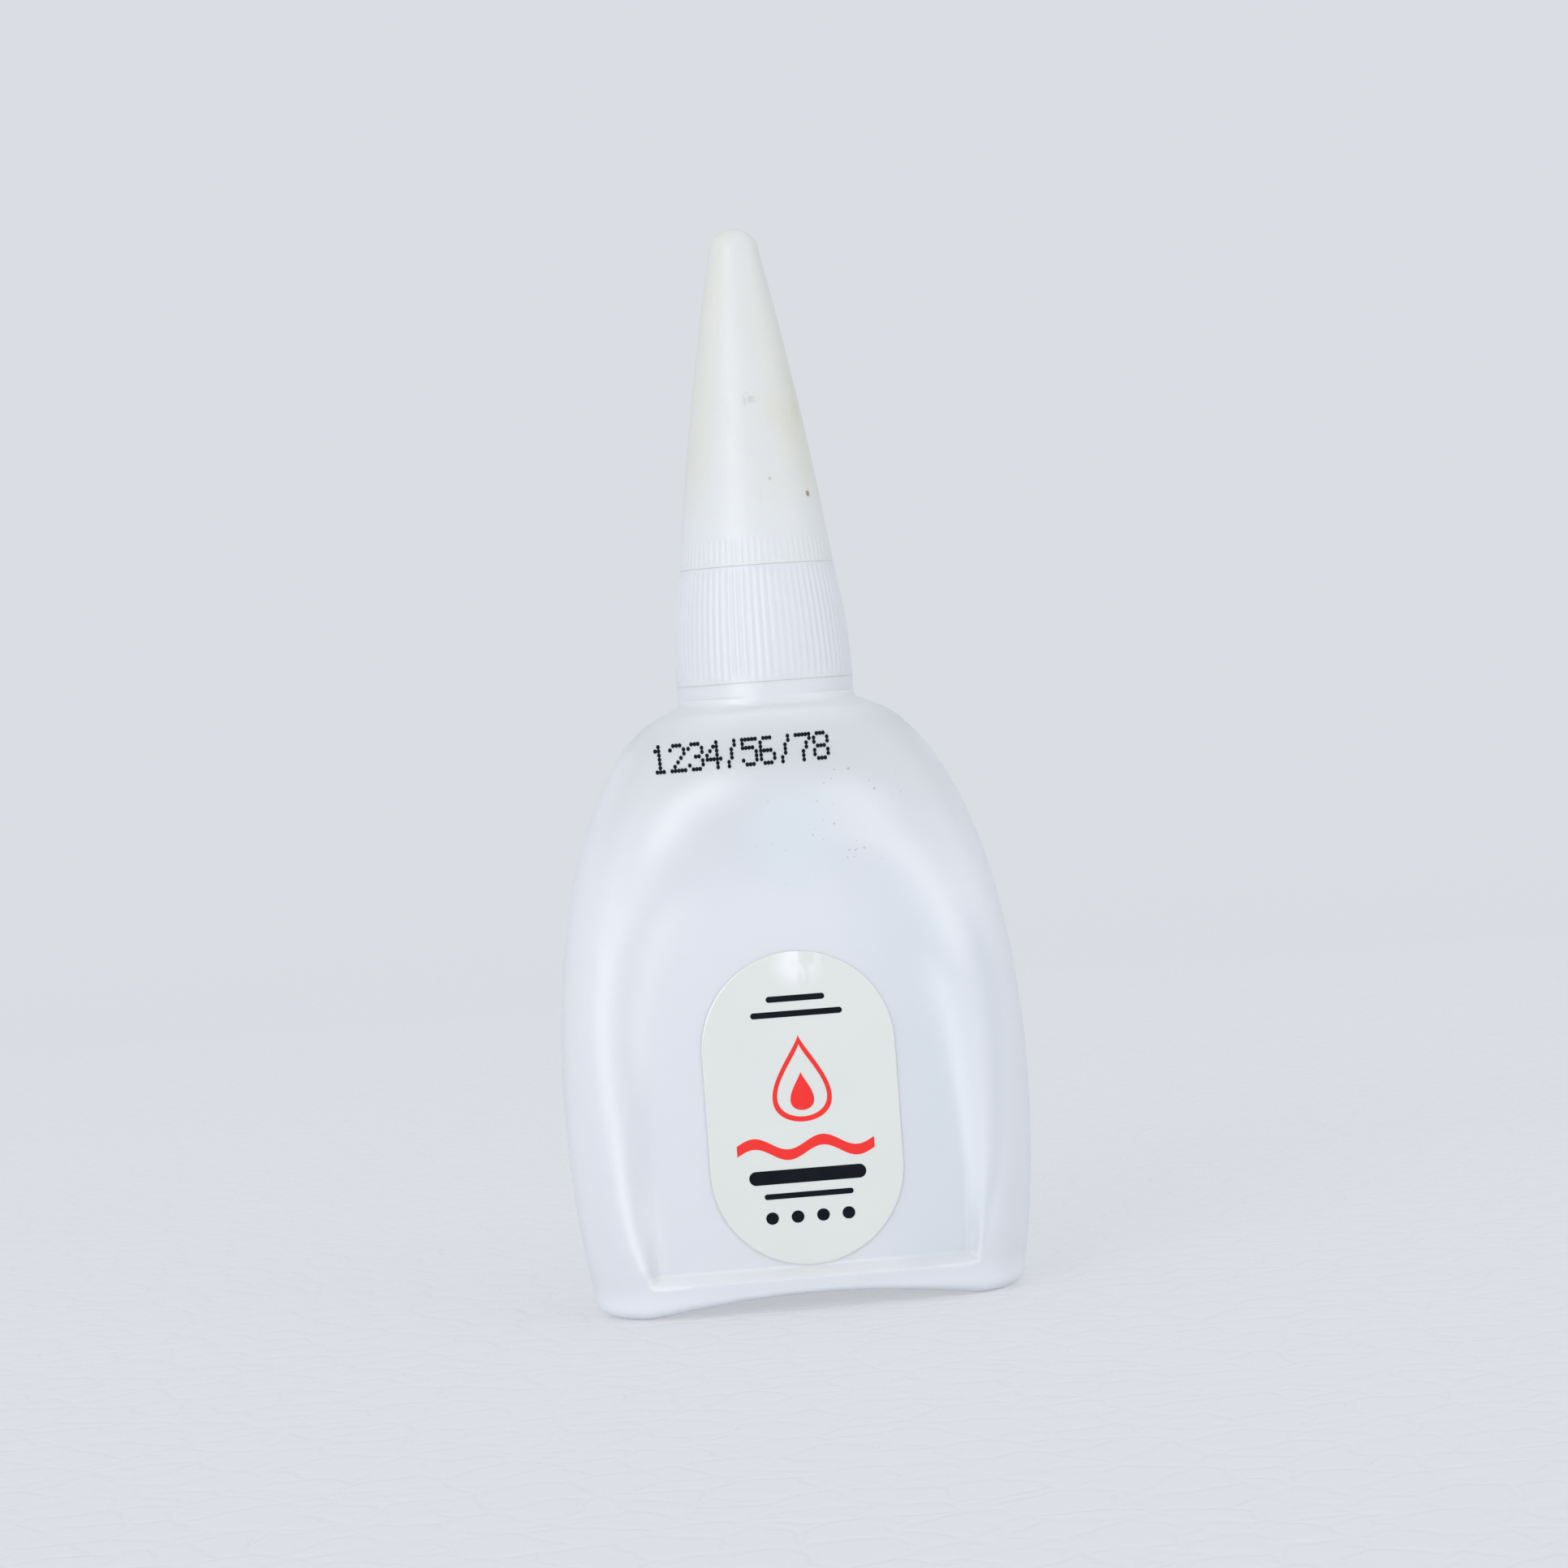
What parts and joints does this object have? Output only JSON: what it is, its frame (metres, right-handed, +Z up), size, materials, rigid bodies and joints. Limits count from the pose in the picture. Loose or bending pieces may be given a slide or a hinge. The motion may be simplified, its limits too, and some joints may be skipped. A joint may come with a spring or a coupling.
{
  "type": "glue bottle",
  "caption": "Flat translucent squeeze bottle of liquid adhesive with an arched base, recessed label panels, a screw-on ribbed dropper nozzle and a long conical cap that lifts off.",
  "frame": {"origin": "middle of the base, on the surface that the bottle stands on", "axes": "+Z up along the nozzle, -Y out of the face that carries the label, +X across the width to the right of that face"},
  "size_m": [0.037, 0.0204, 0.0853],
  "materials": {
    "bottle_plastic": "milky translucent polyethylene, satin",
    "liquid": "clear thin liquid",
    "nozzle_plastic": "natural polyethylene, satin",
    "cap_plastic": "opaque ivory polyethylene, satin",
    "label_film": "glossy printed film"
  },
  "bodies": {
    "bottle": {"bottle": "bottle_plastic", "glue": "liquid", "label": "label_film"},
    "nozzle": {"nozzle": "nozzle_plastic"},
    "cap": {"cap": "cap_plastic"}
  },
  "joints": [
    {"name": "nozzle_lift", "type": "slide", "parent": "bottle", "child": "nozzle", "axis": [0, 0, 1], "range_m": [0, 0.012]},
    {"name": "cap_lift", "type": "slide", "parent": "nozzle", "child": "cap", "axis": [0, 0, 1], "range_m": [0, 0.03]}
  ]
}
